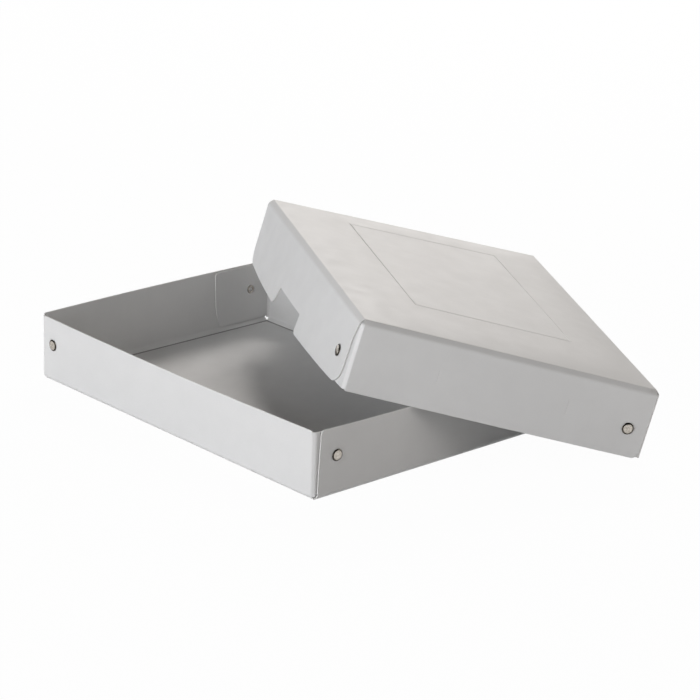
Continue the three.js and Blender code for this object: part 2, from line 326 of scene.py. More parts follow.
@dataclass(frozen=True)
class FloorFinish:
    """Plain white floor that shows white to the camera and keeps a faint shadow.

    Under the base it doesn't glow, so that no white shows through the base's corners. From below it is
    clear, so that the box's underside can be seen.
    """

    colour: Colour = (0.80, 0.80, 0.80)
    glow_share: float = 0.975
    dark_middle: tuple[float, float] = (-0.003, 0.003)
    dark_half: tuple[float, float] = (0.157, 0.111)

    def glow(self, material: Material) -> Socket:
        """Works out how much of the floor's glow a ray sees.

        Args:
            material: The material to add to.

        Returns:
            The output with the share.
        """
        nodes, links = material.node_tree.nodes, material.node_tree.links
        path = nodes.new("ShaderNodeLightPath")
        place = nodes.new("ShaderNodeTexCoord")
        parts = nodes.new("ShaderNodeSeparateXYZ")
        links.new(place.outputs["Object"], parts.inputs["Vector"])
        beyond = []
        for axis, middle, half in zip("XY", self.dark_middle, self.dark_half):
            off = compute(material, "SUBTRACT", parts.outputs[axis], middle)
            beyond.append(compute(material, "GREATER_THAN", compute(material, "ABSOLUTE", off), half))
        clear = compute(material, "MAXIMUM", *beyond)
        seen = compute(material, "MAXIMUM", path.outputs["Is Camera Ray"], path.outputs["Is Glossy Ray"])
        return compute(material, "MULTIPLY", compute(material, "MULTIPLY", seen, clear), self.glow_share)

    def material(self) -> Material:
        """Makes the floor's material.

        Returns:
            The material.
        """
        material = new_material("studio_floor")
        nodes, links = material.node_tree.nodes, material.node_tree.links
        inputs = surface(material).inputs
        inputs["Base Color"].default_value = (*self.colour, 1)
        inputs["Roughness"].default_value = 1.0
        inputs["Specular IOR Level"].default_value = 0.0
        side = nodes.new("ShaderNodeNewGeometry")
        output = surface(material).outputs["BSDF"]
        for share, kind, name in (
            (self.glow(material), "ShaderNodeEmission", "Emission"),
            (side.outputs["Backfacing"], "ShaderNodeBsdfTransparent", "BSDF"),
        ):
            mix = nodes.new("ShaderNodeMixShader")
            links.new(share, mix.inputs["Fac"])
            links.new(output, mix.inputs[1])
            links.new(nodes.new(kind).outputs[name], mix.inputs[2])
            output = mix.outputs["Shader"]
        links.new(output, nodes["Material Output"].inputs["Surface"])
        return material


# Modelling with operators


def select_parts(obj: Piece, kind: str, test: Callable[[Part], bool]) -> int:
    """Selects the vertices, edges or faces that pass a test, in edit mode.

    Args:
        obj: The object.
        kind: VERT, EDGE or FACE.
        test: The test.

    Returns:
        How many were selected.
    """
    bpy.ops.mesh.select_mode(type=kind)
    bpy.ops.mesh.select_all(action="DESELECT")
    mesh = bmesh.from_edit_mesh(obj.data)
    parts = {"VERT": mesh.verts, "EDGE": mesh.edges, "FACE": mesh.faces}[kind]
    passed = [part for part in parts if test(part)]
    for part in passed:
        part.select_set(True)
    bmesh.update_edit_mesh(obj.data)
    return len(passed)


class Sheet:
    """An open mesh that is shaped by operators in edit mode, with its parts picked by their places."""

    def __init__(self, name: str, length: float, width: float, centre: Point = (0, 0, 0)) -> None:
        """Adds a flat rectangle and stays in edit mode.

        Args:
            name: The object's name.
            length: Its size along X.
            width: Its size along Y.
            centre: Its middle.
        """
        bpy.ops.mesh.primitive_plane_add(size=1, location=centre)
        self.obj = bpy.context.active_object
        self.obj.name = self.obj.data.name = name
        self.obj.scale = (length, width, 1)
        bpy.ops.object.transform_apply(location=True, rotation=True, scale=True)
        bpy.ops.object.mode_set(mode="EDIT")

    def pick(self, kind: str, test: Test) -> int:
        """Selects the parts of a kind whose corners all pass a test, and returns how many they are."""

        def passes(part: Part) -> bool:
            """Tells whether all of a part's corners pass."""
            corners = [part] if kind == "VERT" else part.verts
            return all(test(corner.co) for corner in corners)

        return select_parts(self.obj, kind, passes)

    def extrude(self, move: Vector) -> None:
        """Extrudes the picked edges."""
        bpy.ops.mesh.extrude_edges_move(TRANSFORM_OT_translate={"value": move})

    def shift(self, test: Test, move: Vector) -> None:
        """Moves the vertices that pass a test."""
        self.pick("VERT", test)
        bpy.ops.transform.translate(value=move)

    def cut(self, test: Test, place: Vector, across: Vector) -> None:
        """Bisects the faces that pass a test by a plane."""
        if self.pick("FACE", test):
            bpy.ops.mesh.bisect(plane_co=place, plane_no=across, threshold=NEAR)

    def round_corner(self, test: Test, radius: float, segments: int) -> None:
        """Rounds the outline at the vertices that pass a test."""
        self.pick("VERT", test)
        bpy.ops.mesh.bevel(
            offset_type="OFFSET", offset=radius, segments=segments, affect="VERTICES", clamp_overlap=True,
        )

    def finish(self) -> Piece:
        """Leaves edit mode and returns the object."""
        bpy.ops.object.mode_set(mode="OBJECT")
        return self.obj


def apply_modifier(obj: Piece, kind: str, **settings: object) -> None:
    """Adds a modifier to an object, makes the object the active one and applies the modifier.

    Args:
        obj: The object.
        kind: The modifier's type.
        settings: Its settings.
    """
    modifier = obj.modifiers.new(kind.lower(), kind)
    for name, value in settings.items():
        setattr(modifier, name, value)
    bpy.context.view_layer.objects.active = obj
    bpy.ops.object.modifier_apply(modifier=modifier.name)


@dataclass(frozen=True)
class Board:
    """The board and its folds."""

    thickness: float = 1.0 * MM
    crease: float = 3.5 * MM
    pinch: float = 0.25 * MM
    crease_round: float = 0.5 * MM
    edge_round: float = 0.16 * MM

    @property
    def layer(self) -> float:
        """How far a flap lies behind the wall in front of it."""
        return self.thickness + self.pinch


@dataclass(frozen=True)
class CutEnd:
    """A wall's cut end: distances from the corner, and the shoulder where its slant changes."""

    at_crease: float
    shoulder: float
    at_shoulder: float
    at_rim: float
    radius: float


@dataclass(frozen=True)
class Flap:
    """The flap behind the next wall."""

    length: float = 56 * MM
    foot_length: float = 53 * MM
    foot: float = 5.0 * MM
    drop: float = 0.4 * MM
    radius: float = 3 * MM


@dataclass(frozen=True)
class ThumbNotch:
    """The notch in a long rim of the lid."""

    rim_width: float = 75 * MM
    top_width: float = 69 * MM
    depth: float = 14 * MM
    rim_radius: float = 4 * MM
    top_radius: float = 1.6 * MM


@dataclass(frozen=True)
class Wall:
    """One wall, seen from outside, with its cut end on the left and its fold on the right."""

    span: float
    depth: float
    bow: float
    end: CutEnd
    fold_radius: float
    rivet_inset: float
    notch: ThumbNotch | None = None


@dataclass(frozen=True)
class Groove:
    """Width and depth of a debossed line."""

    width: float = 0.9 * MM
    depth: float = 0.22 * MM


@dataclass(frozen=True)
class LabelField:
    """The rectangle of debossed line on the lid's top."""

    length: float = 212 * MM
    width: float = 124 * MM
    centre: tuple[float, float] = (14 * MM, 4 * MM)
    line: Groove = Groove(1.5 * MM, 0.45 * MM)


@dataclass(frozen=True)
class Pillow:
    """How the closed panel swells between its creases, and how far from them it is divided for it."""

    height: float = 2.4 * MM
    reach: float = 36 * MM
    cuts: tuple[float, ...] = (5 * MM, 11 * MM, 17 * MM, 29 * MM)


@dataclass(frozen=True)
class Marks:
    """Two short upright debossed lines on one short wall of the lid.

    The wall is divided finely beside each line, as far as the line's half width times window_share.
    """

    length: float = 11 * MM
    spacing: float = 100 * MM
    from_rim: float = 20.5 * MM
    line: Groove = Groove()
    window_share: float = 3


@dataclass
class FoldedHalf:
    """One half of the box, opening upwards round the Z axis until it is placed.

    Its walls are counted anticlockwise from the one that faces -Y. foot_round is how wide the crease
    between a wall and its foot strip is rounded, and a half that paints crease shade gets painted shade,
    a much darker board colour, on the creases round its panel.
    """

    name: str
    half: Half
    length: float
    width: float
    height: float
    walls: tuple[Wall, ...]
    corners: tuple[str, ...]
    rivet_drop: float = 21 * MM
    twist: float = 0.0
    label: LabelField | None = None
    marks: Marks | None = None
    pillow: Pillow | None = None
    foot_round: float = 0.5 * MM
    paints_crease_shade: bool = False
    board: Board = Board()
    flap: Flap = Flap()
    columns: int = 20
    panel_columns: tuple[int, int] = (12, 10)

    def bow_at(self, wall: Wall, along: float, height: float) -> float:
        """How far a wall's bow pushes a point outwards."""
        share = max(0.0, (height - self.board.crease) / (self.height - self.board.crease))
        return wall.bow * (1 - (2 * along / wall.span) ** 2) * share

    def swell_at(self, x: float, y: float) -> float:
        """Works out how far the closed panel swells outwards at a point.

        Args:
            x: The point's place along the length.
            y: Its place along the width.

        Returns:
            The distance.
        """
        share = 1.0
        for place, size in ((x, self.length), (y, self.width)):
            inside = size / 2 - self.board.crease - abs(place)
            share *= 1 - (1 - min(max(inside / self.pillow.reach, 0), 1)) ** 2
        return self.pillow.height * share

    def sink_at(self, x: float, y: float) -> float:
        """How far the twist lowers a point."""
        return self.twist * (2 * x / self.length) * (2 * y / self.width)

    def panel(self) -> Sheet:
        """Makes the closed panel, with the label field's line where there is one.

        Returns:
            The sheet, still in edit mode.
        """
        crease = self.board.crease
        size = (self.length - 2 * crease, self.width - 2 * crease)
        if self.label is None:
            return Sheet(self.name, *size)
        line = self.label.line.width
        field_size = (self.label.length + line, self.label.width + line)
        sheet = Sheet(self.name, *field_size, (*self.label.centre, 0))
        rim_edges = self.outline_test(field_size, self.label.centre)
        sheet.pick("EDGE", rim_edges)
        grow = (size[0] / field_size[0], size[1] / field_size[1])
        fixed = [c * g / (g - 1) for c, g in zip(self.label.centre, grow)]
        sheet.extrude(Vector((0, 0, 0)))
        bpy.ops.transform.resize(value=(*grow, 1), center_override=(*fixed, 0))
        half = [s / 2 for s in field_size]
        centre = self.label.centre
        sheet.pick("FACE", lambda p: all(abs(p[k] - centre[k]) < half[k] + NEAR for k in (0, 1)))
        bpy.ops.mesh.inset(thickness=line / 2)
        bpy.ops.mesh.inset(thickness=line / 2)
        middle = (field_size[0] - line, field_size[1] - line)
        sheet.shift(self.outline_test(middle, centre), Vector((0, 0, self.label.line.depth)))
        return sheet

    @staticmethod
    def outline_test(size: Point, centre: Point) -> Test:
        """Makes a test for points on a flat rectangle's outline.

        Args:
            size: The rectangle's length and width.
            centre: Its middle.

        Returns:
            The test.
        """

        def on_outline(p: Vector) -> bool:
            """Tells whether a point is on the outline."""
            off = [abs(p[k] - centre[k]) - size[k] / 2 for k in (0, 1)]
            return min(map(abs, off)) < NEAR and max(off) < NEAR

        return on_outline

    def fold_wall(self, sheet: Sheet, index: int) -> None:
        """Extrudes one wall with its corner strip and flap, and cuts their outlines.

        Args:
            sheet: The sheet.
            index: The wall's number.
        """
        wall = self.walls[index]
        crease, layer = self.board.crease, self.board.layer
        turn = Matrix.Rotation(index * math.pi / 2, 3, "Z")
        back = turn.inverted()
        left, fold, rim = -wall.span / 2, wall.span / 2 - crease, self.height

        def at(x: float | None = None, y: float | None = None, z: float | None = None) -> Test:
            """Returns a test for points with the given places in the wall's own frame."""

            def test(p: Vector) -> bool:
                """Tells whether a point has those places."""
                own = back @ p
                return all(v is None or abs(own[k] - v) < NEAR for k, v in enumerate((x, y, z)))

            return test

        def on_wall(p: Vector) -> bool:
            """Tells whether a point lies on the wall itself."""
            own = back @ p
            return abs(own.y + wall.depth) < NEAR and own.z > crease - NEAR and own.x < fold + NEAR

        sheet.pick("EDGE", at(y=crease - wall.depth, z=0))
        sheet.extrude(turn @ Vector((0, -crease, crease)))
        sheet.extrude(Vector((0, 0, rim - crease)))

        shoulder = crease + wall.end.shoulder
        sheet.cut(on_wall, Vector((0, 0, shoulder)), UP)
        for height, place in (
            (crease, wall.end.at_crease), (shoulder, wall.end.at_shoulder), (rim, wall.end.at_rim),
        ):
            moved = turn @ Vector((place - crease, 0, 0))
            sheet.shift(at(left + crease, -wall.depth, height), moved)
        sheet.round_corner(at(left + wall.end.at_rim, -wall.depth, rim), wall.end.radius, RIM_SEGMENTS)
        sheet.round_corner(at(fold, -wall.depth, rim), wall.fold_radius, RIM_SEGMENTS)
        if wall.notch is not None:
            self.cut_notch(sheet, wall, turn, at)

        flap_rim = rim - max(wall.fold_radius, self.flap.drop)
        sheet.cut(on_wall, Vector((0, 0, self.flap.foot)), UP)
        sheet.cut(on_wall, Vector((0, 0, flap_rim)), UP)
        own_end = at(fold, -wall.depth)
        sheet.pick("EDGE", lambda p: own_end(p) and crease - NEAR < p.z < flap_rim + NEAR)
        sheet.extrude(turn @ Vector((crease - layer, crease - layer, 0)))
        strip_end = at(wall.span / 2 - layer, crease - layer - wall.depth)
        sheet.pick("EDGE", lambda p: strip_end(p) and self.flap.foot - NEAR < p.z)
        sheet.extrude(turn @ Vector((0, self.flap.length - crease + layer, 0)))
        flap_end = self.flap.length - wall.depth
        flap_x = wall.span / 2 - layer
        foot_back = self.flap.foot_length - self.flap.length
        sheet.shift(at(flap_x, flap_end, self.flap.foot), turn @ Vector((0, foot_back, 0)))
        sheet.round_corner(at(flap_x, flap_end, flap_rim), self.flap.radius, FLAP_SEGMENTS)
        foot_end = at(flap_x, flap_end + foot_back, self.flap.foot)
        sheet.round_corner(foot_end, self.flap.radius, FLAP_SEGMENTS)

        if self.marks is not None and index == len(self.walls) - 1:
            self.press_marks(sheet, wall, turn, on_wall)
        self.add_columns(sheet, wall, turn)

    def add_columns(self, sheet: Sheet, wall: Wall, turn: Matrix) -> None:
        """Divides a wall and its flap so that they can bow.

        Args:
            sheet: The sheet.
            wall: The wall.
            turn: The wall's turn round the box.
        """
        crease, layer = self.board.crease, self.board.layer
        back = turn.inverted()

        def on_side(p: Vector) -> bool:
            """Tells whether a point lies on the wall or on its foot strip."""
            own = back @ p
            return (
                own.x < wall.span / 2 - crease + NEAR
                and own.y < crease - wall.depth + NEAR
                and own.z > -NEAR
            )

        def on_flap(p: Vector) -> bool:
            """Tells whether a point lies on the flap."""
            own = back @ p
            return abs(own.x - wall.span / 2 + layer) < NEAR

        for column in range(1, self.columns):
            x = (column / self.columns - 0.5) * wall.span
            sheet.cut(on_side, turn @ Vector((x, -wall.depth, 0)), turn @ Vector((1, 0, 0)))
        for row in QUARTER_SHARES:
            height = Vector((0, 0, crease + row * (self.height - crease)))
            sheet.cut(on_side, height, UP)
            sheet.cut(on_flap, height, UP)
        for column in QUARTER_SHARES:
            place = turn @ Vector((0, column * self.flap.length - wall.depth, 0))
            sheet.cut(on_flap, place, turn @ Vector((0, 1, 0)))

    def cut_notch(self, sheet: Sheet, wall: Wall, turn: Matrix, at: Callable[..., Test]) -> None:
        """Cuts the thumb notch out of a wall's rim.

        Args:
            sheet: The sheet.
            wall: The wall.
            turn: The wall's turn round the box.
            at: What makes a test for places in the wall's own frame.
        """
        notch = wall.notch
        half, roof = notch.rim_width / 2, self.height - notch.depth
        back = turn.inverted()
        across = turn @ Vector((1, 0, 0))

        def on_wall(p: Vector) -> bool:
            """Tells whether a point lies on the wall."""
            return abs((back @ p).y + wall.depth) < NEAR

        def in_middle(p: Vector) -> bool:
            """Tells whether a point lies on the wall between the notch's ends."""
            return on_wall(p) and abs((back @ p).x) < half + NEAR

        for hand in (-1, 1):
            sheet.cut(on_wall, turn @ Vector((hand * half, -wall.depth, 0)), across)
        sheet.cut(in_middle, Vector((0, 0, roof)), UP)
        sheet.pick("FACE", lambda p: in_middle(p) and p.z > roof - NEAR)
        bpy.ops.mesh.delete(type="FACE")
        for hand in (-1, 1):
            inwards = turn @ Vector((hand * (notch.top_width - notch.rim_width) / 2, 0, 0))
            sheet.shift(at(hand * half, -wall.depth, roof), inwards)
            rim_end = at(hand * half, -wall.depth, self.height)
            sheet.round_corner(rim_end, notch.rim_radius, NOTCH_RIM_SEGMENTS)
            top_end = at(hand * notch.top_width / 2, -wall.depth, roof)
            sheet.round_corner(top_end, notch.top_radius, NOTCH_TOP_SEGMENTS)

    def press_marks(self, sheet: Sheet, wall: Wall, turn: Matrix, on_wall: Test) -> None:
        """Presses the two short lines into a wall.

        Args:
            sheet: The sheet.
            wall: The wall.
            turn: The wall's turn round the box.
            on_wall: The test for points on the wall.
        """
        back = turn.inverted()
        across = turn @ Vector((1, 0, 0))
        top = self.height - self.marks.from_rim
        half = self.marks.line.width / 2
        window = self.marks.window_share * half
        for hand in (-1, 1):
            middle = hand * self.marks.spacing / 2

            def near(p: Vector, reach: float) -> bool:
                """Tells whether a point lies on the wall near the line."""
                return on_wall(p) and abs((back @ p).x - middle) < reach + NEAR

            for offset in (-window, window):
                sheet.cut(on_wall, turn @ Vector((middle + offset, 0, 0)), across)
            for height in (top - self.marks.length - half, top - self.marks.length, top, top + half):
                sheet.cut(lambda p: near(p, window), Vector((0, 0, height)), UP)
            for offset in (-half, 0, half):
                sheet.cut(lambda p: near(p, window), turn @ Vector((middle + offset, 0, 0)), across)
            sheet.shift(
                lambda p: near(p, 0) and top - self.marks.length - NEAR < p.z < top + NEAR,
                turn @ Vector((0, self.marks.line.depth, 0)),
            )

    def is_pressed(self, place: Vector) -> bool:
        """Tells whether a point lies at the bottom of a debossed line."""
        on_mark = self.marks and abs(abs(place.x) - self.length / 2 + self.marks.line.depth) < NEAR
        return bool(on_mark or self.label and NEAR < place.z < self.board.crease - NEAR)

    def mark_creases(self, sheet: Sheet) -> None:
        """Gives the creases the weights by which they are rounded, the most at the walls' feet.

        Args:
            sheet: The sheet.
        """
        crease = self.board.crease
        least = self.board.crease_round / max(self.foot_round, self.board.crease_round)

        def is_crease(edge: Part) -> bool:
            """Tells whether an edge is a crease."""
            if len(edge.link_faces) != 2 or any(self.is_pressed(v.co) for v in edge.verts):
                return False
            return edge.calc_face_angle() > CREASE_ANGLE

        def at_foot(edge: Part) -> bool:
            """Tells whether an edge is the crease between a wall and its foot strip."""
            return all(abs(v.co.z - crease) < NEAR for v in edge.verts)

        select_parts(sheet.obj, "EDGE", is_crease)
        bpy.ops.transform.edge_bevelweight(value=least)
        select_parts(sheet.obj, "EDGE", lambda edge: is_crease(edge) and at_foot(edge))
        bpy.ops.transform.edge_bevelweight(value=1 - least)

    def divide_panel(self, sheet: Sheet) -> None:
        """Divides the closed panel so that it can swell and twist.

        Args:
            sheet: The sheet.
        """
        half = (self.length / 2 - self.board.crease, self.width / 2 - self.board.crease)

        def on_panel(p: Vector) -> bool:
            """Tells whether a point lies on the panel."""
            return all(abs(p[k]) < half[k] + NEAR for k in (0, 1)) and p.z < self.board.crease - NEAR

        spans = (self.length, self.width)
        for span, count, across in zip(spans, self.panel_columns, (Vector((1, 0, 0)), Vector((0, 1, 0)))):
            places = [(column / count - 0.5) * span for column in range(1, count)]
            if self.pillow is not None:
                edge = span / 2 - self.board.crease
                places += [hand * (edge - cut) for hand in (-1, 1) for cut in self.pillow.cuts]
            for place in places:
                sheet.cut(on_panel, across * place, across)

    def bend(self, obj: Piece) -> None:
        """Bows the walls, each flap with the wall in front of it, swells the panel and twists the whole.

        Args:
            obj: The half's object.
        """
        deep = self.board.thickness + self.board.layer + self.board.pinch
        for vertex in obj.data.vertices:
            push = Vector((0, 0, 0))
            for index, wall in enumerate(self.walls):
                turn = Matrix.Rotation(index * math.pi / 2, 3, "Z")
                own = turn.inverted() @ vertex.co
                if own.y + wall.depth < deep:
                    push += turn @ Vector((0, -self.bow_at(wall, own.x, own.z), 0))
            if self.pillow is not None and vertex.co.z < self.board.crease - NEAR:
                push.z -= self.swell_at(vertex.co.x, vertex.co.y)
            vertex.co += push
            vertex.co.z -= self.sink_at(vertex.co.x, vertex.co.y)

    def paint_crease_shade(self, obj: Piece) -> None:
        """Paints shade on the rounded creases round the closed panel, as a much darker board finish.

        Args:
            obj: The half's object.
        """
        upright, flat = 0.05, 0.995
        low = self.board.crease / 3
        for face in obj.data.polygons:
            if face.center.z < low and upright < abs(face.normal.z) < flat:
                # Painted shade: these crease faces get the dark crease finish.
                face.material_index = CREASE_SHADE_SLOT

    def build(self, place: Matrix, materials: Finishes) -> Piece:
        """Makes the half's board and moves it into place.

        Args:
            place: Where the half stands.
            materials: The finishes by name.

        Returns:
            The finished object.
        """
        sheet = self.panel()
        for index in range(len(self.walls)):
            self.fold_wall(sheet, index)
        if self.twist:
            self.divide_panel(sheet)
        bpy.ops.mesh.select_all(action="SELECT")
        bpy.ops.mesh.remove_doubles(threshold=NEAR)
        self.mark_creases(sheet)
        bpy.ops.mesh.select_all(action="SELECT")
        bpy.ops.mesh.normals_make_consistent(inside=False)
        obj = sheet.finish()
        lowest = min(obj.data.polygons, key=lambda face: face.center.z)
        if lowest.normal.z > 0:
            obj.data.flip_normals()
        self.bend(obj)
        for name in ("face", "cut", "crease") if self.paints_crease_shade else ("face", "cut"):
            obj.data.materials.append(materials[name])
        apply_modifier(
            obj, "BEVEL", limit_method="WEIGHT", width=max(self.foot_round, self.board.crease_round),
            segments=CREASE_SEGMENTS, use_clamp_overlap=False,
        )
        if self.paints_crease_shade:
            self.paint_crease_shade(obj)
        apply_modifier(
            obj, "SOLIDIFY", thickness=self.board.thickness, offset=-1, use_even_offset=True,
            material_offset_rim=CUT_SLOT,
        )
        apply_modifier(
            obj, "BEVEL", limit_method="ANGLE", angle_limit=CUT_ANGLE, width=self.board.edge_round,
            segments=CUT_SEGMENTS, use_clamp_overlap=False,
        )
        obj.data.transform(place)
        obj.data.update()
        bpy.ops.object.shade_smooth_by_angle(angle=BOARD_SMOOTH_ANGLE)
        apply_modifier(obj, "WEIGHTED_NORMAL", mode="FACE_AREA", weight=100, keep_sharp=True)
        return obj

    def rivet_place(self, index: int) -> Matrix:
        """Where a wall's rivet sits: on its outer face, with Z pointing straight out.

        Args:
            index: The wall's number.

        Returns:
            The rivet's place in the half's own frame.
        """
        wall = self.walls[index]
        along = -wall.span / 2 + wall.rivet_inset
        height = self.height - self.rivet_drop
        reach = MM
        rise = self.bow_at(wall, along, height + reach) - self.bow_at(wall, along, height - reach)
        run = self.bow_at(wall, along + reach, height) - self.bow_at(wall, along - reach, height)
        outward = Vector((-run, -2 * reach, -rise)).normalized()
        seat = Vector((along, -wall.depth - self.bow_at(wall, along, height), height))
        turned = UP.rotation_difference(outward).to_matrix().to_4x4()
        place = Matrix.Rotation(index * math.pi / 2, 4, "Z") @ Matrix.Translation(seat) @ turned
        sink = self.sink_at(place.translation.x, place.translation.y)
        return Matrix.Translation((0, 0, -sink)) @ place


@dataclass
class Rivet:
    """A tubular rivet: low domed head outside, tube through both layers and a rolled end inside."""

    head_radius: float = 4.5 * MM
    head_rim: float = 0.25 * MM
    head_height: float = 1.05 * MM
    head_ease: float = 0.05 * MM
    head_lip: float = 0.08 * MM
    head_undercut: float = 0.15 * MM
    dome_steps: int = 9
    tube_radius: float = 2.0 * MM
    bore_radius: float = 1.5 * MM
    bore_roof: float = 0.3 * MM
    curl_radius: float = 3.5 * MM
    curl_height: float = 0.4 * MM
    curl_steps: int = 8
    seat: float = 0.15 * MM
    shade_ring_radius: float = 3.5 * MM
    facets: int = 48

    def profile(self, board: Board) -> list[tuple[float, float]]:
        """Lists the rivet's radius and height from the dome's middle to the bore's end.

        Args:
            board: The board that the rivet holds.

        Returns:
            Pairs of radius and height.
        """
        inside = -(board.thickness + board.layer) - self.seat
        dome = self.head_height - self.head_rim
        points = []
        for step in range(1, self.dome_steps + 1):
            angle = math.pi / 2 * (1 - step / self.dome_steps)
            rise = self.head_rim + dome * math.sin(angle)
            points.append((self.head_radius * math.cos(angle), self.seat + rise))
        points += [
            (self.head_radius - self.head_ease, self.seat + self.head_lip),
            (self.head_radius - self.head_undercut, self.seat),
            (self.tube_radius, self.seat),
            (self.tube_radius, inside),
        ]
        middle = (self.bore_radius + self.curl_radius) / 2
        reach = (self.curl_radius - self.bore_radius) / 2
        for step in range(self.curl_steps + 1):
            angle = math.pi * step / self.curl_steps
            points.append((middle + reach * math.cos(angle), inside - self.curl_height * math.sin(angle)))
        points.append((self.bore_radius, -self.bore_roof))
        return points

    def build(self, board: Board, materials: Finishes) -> Piece:
        """Turns a rivet from a circle, with the wall's outer face at zero and its head upwards.

        Args:
            board: The board that the rivet holds.
            materials: The finishes by name.

        Returns:
            The finished object.
        """
        points = self.profile(board)
        bpy.ops.mesh.primitive_circle_add(
            vertices=self.facets, radius=points[0][0], fill_type="TRIFAN", location=(0, 0, 0),
        )
        obj = bpy.context.active_object
        obj.name = obj.data.name = "tubular_rivet"
        top = self.seat + self.head_height
        bpy.ops.object.mode_set(mode="EDIT")
        mesh = bmesh.from_edit_mesh(obj.data)
        for vertex in mesh.verts:
            vertex.co.z = points[0][1] if vertex.co.length > NEAR else top
        select_parts(obj, "EDGE", lambda edge: edge.is_boundary)
        for (radius, height), (before, below) in zip(points[1:], points):
            bpy.ops.mesh.extrude_edges_move(TRANSFORM_OT_translate={"value": (0, 0, height - below)})
            ratio = radius / before
            bpy.ops.transform.resize(value=(ratio, ratio, 1), center_override=(0, 0, height))
        bpy.ops.mesh.edge_face_add()
        bpy.ops.mesh.select_all(action="SELECT")
        bpy.ops.mesh.normals_make_consistent(inside=False)
        bpy.ops.object.mode_set(mode="OBJECT")
        for name in ("rivet", "rivet_shade"):
            obj.data.materials.append(materials[name])
        # Painted shade: the head's outer ring and the bore get the near-black finish.
        for face in obj.data.polygons:
            reach = face.center.xy.length
            rim = face.center.z > 0 and reach > self.shade_ring_radius
            bore = face.center.z < 0 and reach < self.bore_radius + NEAR
            face.material_index = int(rim or bore)
        bpy.ops.object.shade_smooth_by_angle(angle=RIVET_SMOOTH_ANGLE)
        return obj


def copied(piece: Piece, name: str, place: Matrix) -> Piece:
    """Copies a piece with a mesh of its own and moves the copy into place.

    Args:
        piece: The piece to copy.
        name: The copy's name.
        place: Where it goes.

    Returns:
        The copy.
    """
    bpy.ops.object.select_all(action="DESELECT")
    piece.select_set(True)
    bpy.context.view_layer.objects.active = piece
    bpy.ops.object.duplicate()
    copy = bpy.context.active_object
    copy.name = copy.data.name = name
    copy.data.transform(place)
    return copy


# Sizes of the two halves


def storage_box_halves() -> tuple[FoldedHalf, FoldedHalf]:
    """Describes the base and the lid.

    Returns:
        The base and the lid.
    """
    board = Board()
    slip = 0.5 * MM
    grow = 2 * (2 * board.thickness + slip)
    length, width, height = 320 * MM, 228 * MM, 52 * MM
    base_end = CutEnd(
        at_crease=3.5 * MM, shoulder=20 * MM, at_shoulder=4.2 * MM, at_rim=5.7 * MM, radius=3 * MM,
    )
    lid_long_end = CutEnd(
        at_crease=2.0 * MM, shoulder=12 * MM, at_shoulder=6.6 * MM, at_rim=7.4 * MM, radius=15 * MM,
    )
    lid_short_end = CutEnd(
        at_crease=2.6 * MM, shoulder=20 * MM, at_shoulder=2.6 * MM, at_rim=2.6 * MM, radius=5 * MM,
    )
    sharp, wide = 1.0 * MM, 13 * MM
    # A side's span, how far it is to the side across from it, and its rivet's inset.
    base_sides = ((length, width, 16.5 * MM), (width, length, 20 * MM))
    base_bows = (3.1 * MM, 3.5 * MM, 2.6 * MM, 2.2 * MM)
    base = FoldedHalf(
        name="base_board", half=Half.BASE, length=length, width=width, height=height,
        walls=tuple(
            Wall(span, across / 2, bow, base_end, sharp, inset)
            for (span, across, inset), bow in zip(base_sides * 2, base_bows)
        ),
        corners=("front_left", "front_right", "back_right", "back_left"),
        foot_round=1.0 * MM, paints_crease_shade=True, board=Board(crease_round=1.0 * MM),
    )
    lid_length, lid_width = length + grow, width + grow
    lid_short = Wall(
        lid_width, lid_length / 2, bow=0.6 * MM, end=lid_short_end, fold_radius=sharp,
        rivet_inset=17 * MM,
    )
    lid_long = Wall(
        lid_length, lid_width / 2, bow=8.4 * MM, end=lid_long_end, fold_radius=sharp,
        rivet_inset=26 * MM, notch=ThumbNotch(),
    )
    lid = FoldedHalf(
        name="lid_board", half=Half.LID, length=lid_length, width=lid_width,
        height=height + board.thickness,
        walls=(replace(lid_long, fold_radius=wide), lid_short, lid_long, lid_short),
        corners=("front_left", "back_left", "back_right", "front_right"),
        twist=2.1 * MM, label=LabelField(), marks=Marks(), pillow=Pillow(), foot_round=1.2 * MM,
    )
    return base, lid


def middle_of(node: Piece) -> Vector:
    """Returns the mean place of a CAD node's vertices."""
    places = np.array([vertex.co for vertex in node.data.vertices])
    return Vector(places.mean(0))


def lid_pose(base: FoldedHalf, lid: FoldedHalf, nodes: dict[str, Piece]) -> Matrix:
    """Reads the lid's pose off the frame, from the places of its four rivets.

    Args:
        base: The base, whose rivets tell how far a rivet's middle lies behind its seat.
        lid: The lid.
        nodes: The frame's nodes by name.

    Returns:
        The pose that puts the lid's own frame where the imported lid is.
    """
    sinks = []
    for index, corner in enumerate(base.corners):
        place = base.rivet_place(index)
        sinks.append((place.inverted() @ middle_of(nodes[f"base_rivet_{corner}"])).z)
    sink = sum(sinks) / len(sinks)
    own = np.array([lid.rivet_place(i) @ Vector((0, 0, sink)) for i in range(len(lid.corners))])
    packed = np.array([middle_of(nodes[f"lid_rivet_{corner}"]) for corner in lid.corners])
    left, _, right = np.linalg.svd((packed - packed.mean(0)).T @ (own - own.mean(0)))
    flip = np.diag([1, 1, np.linalg.det(left @ right)])
    turn = left @ flip @ right
    pose = Matrix(turn.tolist()).to_4x4()
    pose.translation = Vector(packed.mean(0) - turn @ own.mean(0))
    misses = [(pose @ Vector(a) - Vector(b)).length for a, b in zip(own, packed)]
    LOG.info("lid pose read off its rivets, largest miss %.3f mm", max(misses) / MM)
    return pose


# Studio


COOL: Colour = (0.965, 0.975, 1.0)
WARM: Colour = (1.0, 0.965, 0.935)


